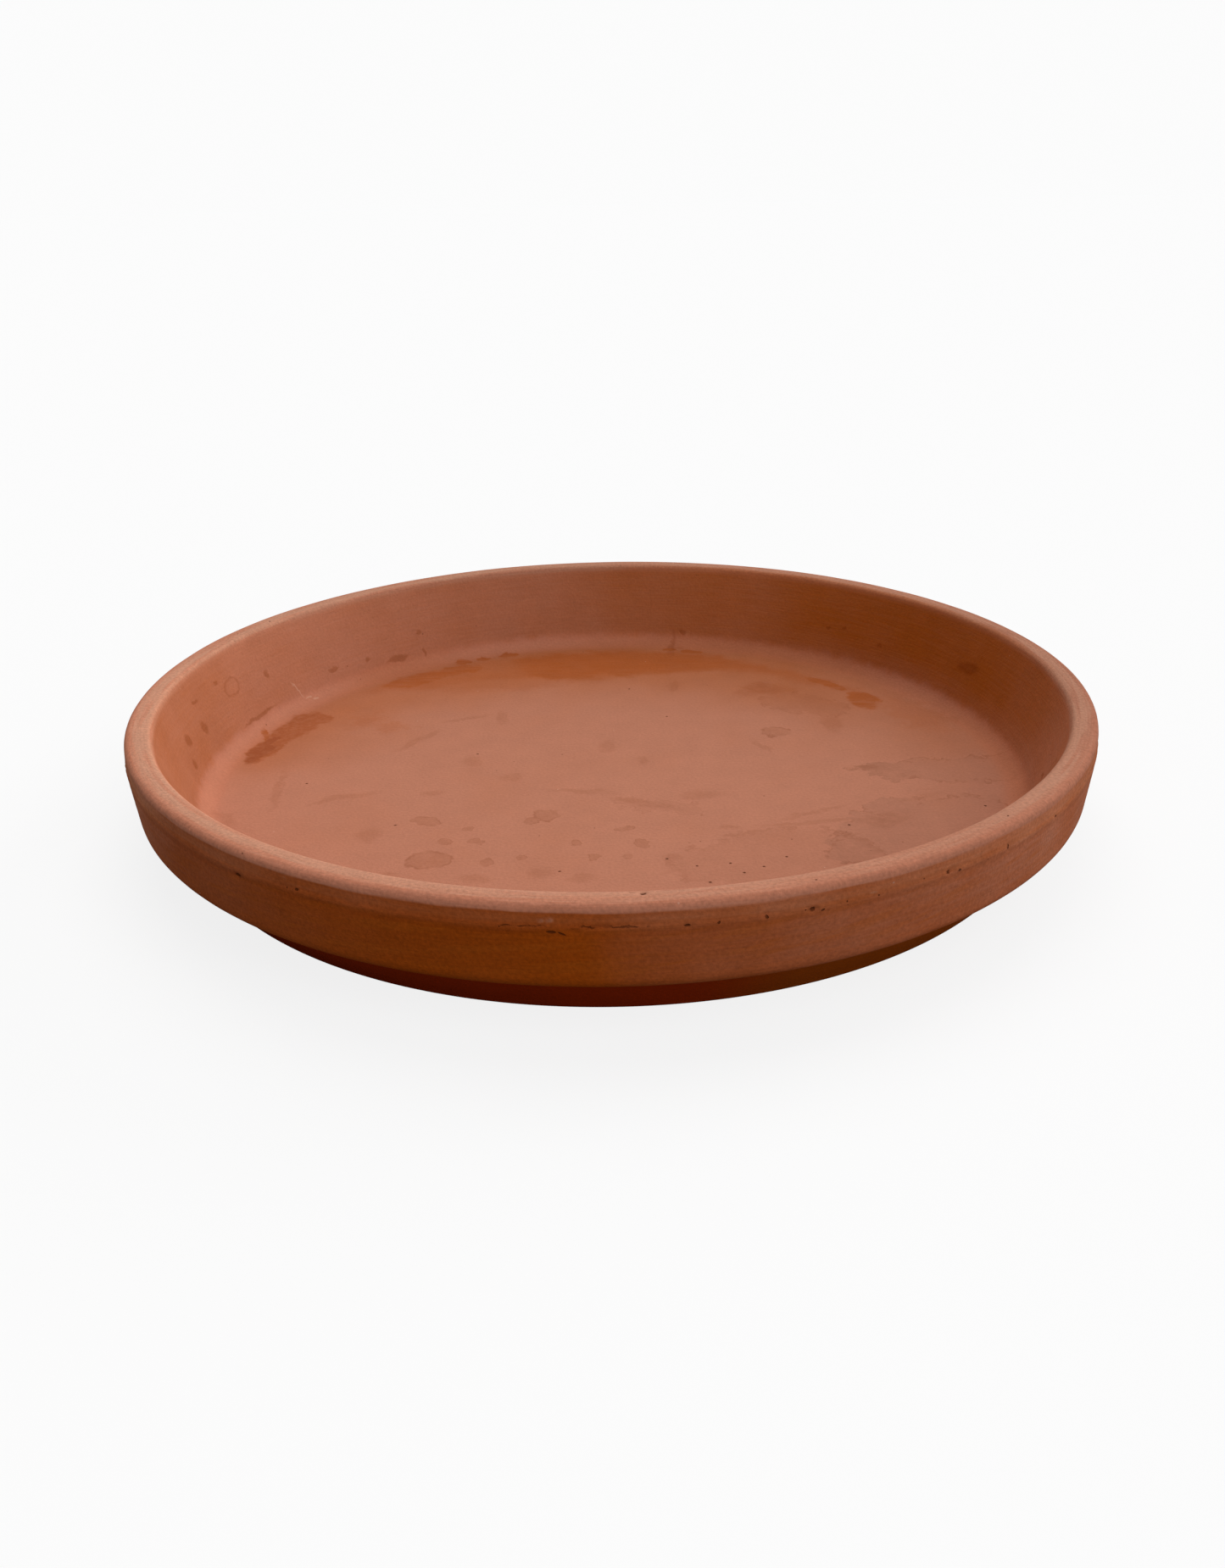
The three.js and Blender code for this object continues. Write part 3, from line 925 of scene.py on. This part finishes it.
def foot_colour(s, colour):
    """The foot is rawer clay, painted darker partly as shade under the collar, and the underside is plain."""
    g = s.g
    foot = g.fade(s.from_stretch("collar_edge"), 1.5, -0.5)
    foot = g.times(foot, g.fade(s.from_stretch("foot_edge"), -2, 0))
    raw_and_shaded = g.blend(s.by_bearing(BROWN_FOOT), FOOT_CLAY_SHADED, FOOT_BROWN_SHADED)
    colour = g.blend(foot, colour, raw_and_shaded)
    under = g.fade(g.add(s.from_stretch("foot_edge"), g.ripple(s.place, 9, 1.2, 4)), 0.6, -2.2)
    return g.blend(under, colour, UNDERNEATH)


def seam_crack(s):
    """A thin broken crack that wanders along the parting line, from 0 to CRACK_STRENGTH."""
    g = s.g
    wander = g.add(g.ripple(s.place, 6, 0.3, 2), g.ripple(s.place, 1.0, 0.3, 3))
    line = g.maths("ABSOLUTE", g.add(s.from_stretch("seam"), g.less(wander, 0.1)))
    scarce = g.less(1.0, g.times(s.by_bearing(CRACKED), 0.5))
    torn = g.less(g.noise(s.place, 5, 3), scarce)
    return g.times(g.fade(line, 0.2, 0.05), g.fade(torn, -0.12, 0.02, 0, CRACK_STRENGTH))


def dark_holes(s):
    """Pits in the collar and the lip, dots on the floor, fine specks and the crack, from 0 to 1."""
    g = s.g
    pits = g.fade(g.nearest(s.outer_wall, round_rim(COLLAR_PITS)), 1.1, 0.45)
    pits = g.times(pits, s.within("collar", "band", 0.5))
    lip_pits = g.fade(g.nearest(s.lip, round_rim(LIP_PITS)), 1.2, 0.5)
    lip_pits = g.times(lip_pits, s.within("lip_outer", "lip_inner", 0.5))
    dots = g.nearest(s.for_dots, [(x, y, DOT_SIZE, DOT_SIZE, 0) for x, y in DOTS])
    dots = g.times(g.fade(dots, 1.3, 0.6), s.within("floor", "floor", 0.5))
    specks = g.times(g.speckle(s.place, *SPECKS), SPECK_STRENGTH)
    by_seam = g.fade(g.maths("ABSOLUTE", g.add(s.from_stretch("seam"), 0.3)), 1.0, 0.5)
    seam_specks = g.times(g.speckle(s.place, *SEAM_SPECKS), by_seam)
    return g.most(g.most(pits, lip_pits, dots), g.most(specks, seam_specks, seam_crack(s)))


def clay_material(stations):
    g = Graph("fired_clay")
    s = ClaySurface(g, stations)
    colour = body_colour(s)
    bare = g.times(bare_floor(s), g.fade(s.from_stretch("cove"), 2.5, 5))
    colour = g.blend(bare, colour, WASHED)
    for layer in (floor_stains, inner_wall_stains, seam_stains, lip_colour, foot_colour):
        colour = layer(s, colour)

    # Grain: sandy mottling, fine turning streaks, dark holes and pale grit
    sandy = g.add(SAND, g.times(s.within("collar_edge", "lip_inner"), OUTER_SAND))
    sand = g.add(g.ripple(s.place, *MOTTLE), g.times(g.ripple(s.place, 0.8, 1.0, 3), sandy))
    turning = g.times(g.ripple(s.streaks, 0.6, TURNING, 3), g.fade(s.from_stretch("cove"), 0, -3, 0.2, 1.0))
    colour = g.brightened(colour, g.add(1.0, g.add(sand, turning)))
    holes = dark_holes(s)
    colour = g.blend(g.times(holes, PIT_STRENGTH), colour, PIT)
    grit = g.speckle(g.vector("ADD", s.place, GRIT_OFFSET), *GRIT_GRAINS)
    colour = g.blend(g.times(grit, GRIT_STRENGTH), colour, GRIT)

    # Surface: dull, with sandy bumps
    g.feed(g.shader.inputs["Base Color"], colour)
    g.feed(g.shader.inputs["Roughness"], g.add(ROUGHNESS, g.ripple(s.place, 3, 0.03, 3)))
    g.feed(g.shader.inputs["Specular IOR Level"], SPECULAR)
    height = g.add(g.ripple(s.place, 0.8, BUMP_HEIGHT, 4), turning, g.ripple(s.place, 5, BUMP_HEIGHT, 2))
    height = g.less(height, g.times(holes, PIT_DEPTH))
    g.feed(g.shader.inputs["Normal"], g.node("Bump", {"Strength": 1.0, "Distance": MM, "Height": height}))
    return g.material


# ---------------------------------------------------------------- stage, camera, light

# The camera stands this many saucer radii from the origin, and this many degrees up. It aims below the
# origin by its dip, or above it if that is negative, and to the side by its turn
CAMERA_DISTANCE = 3.115
CAMERA_ELEVATION = 23.977
CAMERA_DIP = -0.180
CAMERA_TURN = 0.012
CAMERA_ROLL = -1.091
FOCAL_LENGTH = 32.30
SENSOR_WIDTH = 36
NEAREST_SEEN = 0.01  # metres

# Soft lamps: name, azimuth, elevation, strength
LAMPS = (
    ("window", 45, 15, 1.53),
    ("sky", 90, 60, 1.28),
    ("fill_high", 315, 45, 0.65),
    ("fill_low", 315, 15, 0.49),
)
LAMP_SPREAD = 45
AMBIENT = 0.265

# The floor lies this far below the saucer, so that their faces don't coincide
FLOOR_GAP = 0.1
FLOOR_SIZE = 12  # metres

# As the camera sees it, the floor glows and is lit a little by the lamps, and the backdrop behind it is as
# pale. To the saucer it is a duller floor that throws this share of the light back
PAPER_GLOW = 0.84
PAPER_GREY = 0.14
FLOOR_BOUNCE = 0.28
BACKDROP = 0.97


def add_camera():
    elevation, dip = math.radians(CAMERA_ELEVATION), math.radians(CAMERA_ELEVATION + CAMERA_DIP)
    turn, roll = math.radians(CAMERA_TURN), math.radians(CAMERA_ROLL)
    distance = CAMERA_DISTANCE * WIDEST_RADIUS * MM
    forward = Vector((math.sin(turn) * math.cos(dip), math.cos(turn) * math.cos(dip), -math.sin(dip)))
    level = Vector((math.cos(turn), -math.sin(turn), 0))
    upright = level.cross(forward)
    right = level * math.cos(roll) + upright * math.sin(roll)
    up = upright * math.cos(roll) - level * math.sin(roll)
    data = bpy.data.cameras.new("camera")
    data.lens = FOCAL_LENGTH
    data.sensor_width = SENSOR_WIDTH
    data.clip_start = NEAREST_SEEN
    camera = bpy.data.objects.new("camera", data)
    place = Vector((0, -math.cos(elevation), math.sin(elevation))) * distance
    turned = Matrix((right, up, -forward)).transposed().to_4x4()
    camera.matrix_world = Matrix.Translation(place) @ turned
    bpy.context.scene.collection.objects.link(camera)
    bpy.context.scene.camera = camera


def seen_or_unseen(tree, seen, unseen):
    """One shader for what the camera sees directly, and another for the light that it throws back."""
    path = tree.nodes.new("ShaderNodeLightPath")
    mix = tree.nodes.new("ShaderNodeMixShader")
    tree.links.new(path.outputs["Is Camera Ray"], mix.inputs[0])
    tree.links.new(unseen, mix.inputs[1])
    tree.links.new(seen, mix.inputs[2])
    return mix.outputs[0]


def plain_shader(tree, kind, grey, strength=None):
    node = tree.nodes.new(kind)
    node.inputs["Color"].default_value = (grey, grey, grey, 1)
    if strength is not None:
        node.inputs["Strength"].default_value = strength
    return node.outputs[0]


def paper_material():
    """Pale paper that shows soft shadows but throws little light up at the saucer."""
    material = bpy.data.materials.new("paper")
    material.use_nodes = True
    tree = material.node_tree
    glow = plain_shader(tree, "ShaderNodeEmission", 1, PAPER_GLOW)
    pale = plain_shader(tree, "ShaderNodeBsdfDiffuse", PAPER_GREY)
    lit = tree.nodes.new("ShaderNodeAddShader")
    tree.links.new(glow, lit.inputs[0])
    tree.links.new(pale, lit.inputs[1])
    dull = plain_shader(tree, "ShaderNodeBsdfDiffuse", FLOOR_BOUNCE)
    surface = seen_or_unseen(tree, lit.outputs[0], dull)
    tree.links.new(surface, tree.nodes["Material Output"].inputs["Surface"])
    return material


def add_floor():
    half = FLOOR_SIZE / 2
    low = -FLOOR_GAP * MM
    corners = [(-half, -half, low), (half, -half, low), (half, half, low), (-half, half, low)]
    mesh = bpy.data.meshes.new("floor")
    mesh.from_pydata(corners, [], [(0, 1, 2, 3)])
    mesh.materials.append(paper_material())
    floor = bpy.data.objects.new("floor", mesh)
    bpy.context.scene.collection.objects.link(floor)


def add_sun(name, azimuth, elevation, strength):
    """A broad soft lamp, far away. Azimuth is in degrees from +X, towards +Y."""
    a, e = math.radians(azimuth), math.radians(elevation)
    towards = Vector((math.cos(a) * math.cos(e), math.sin(a) * math.cos(e), math.sin(e)))
    data = bpy.data.lights.new(name, "SUN")
    data.energy = strength
    data.angle = math.radians(LAMP_SPREAD)
    lamp = bpy.data.objects.new(name, data)
    lamp.rotation_euler = (-towards).to_track_quat("-Z", "Y").to_euler()
    bpy.context.scene.collection.objects.link(lamp)


def add_lights():
    for name, azimuth, elevation, strength in LAMPS:
        add_sun(name, azimuth, elevation, strength)
    world = bpy.data.worlds.new("studio")
    world.use_nodes = True
    tree = world.node_tree
    soft = plain_shader(tree, "ShaderNodeBackground", 1, AMBIENT)
    backdrop = plain_shader(tree, "ShaderNodeBackground", 1, BACKDROP)
    surface = seen_or_unseen(tree, backdrop, soft)
    tree.links.new(surface, tree.nodes["World Output"].inputs["Surface"])
    bpy.context.scene.world = world


# ---------------------------------------------------------------- build

def build():
    mesh, stations = turned_mesh("fired_saucer")
    saucer = bpy.data.objects.new("fired_saucer", mesh)
    bpy.context.scene.collection.objects.link(saucer)
    mesh.materials.append(clay_material(stations))
    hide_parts("saucer")
    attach(saucer, "root")
    add_camera()
    add_floor()
    add_lights()
    bpy.context.scene.view_settings.view_transform = "Standard"


build()
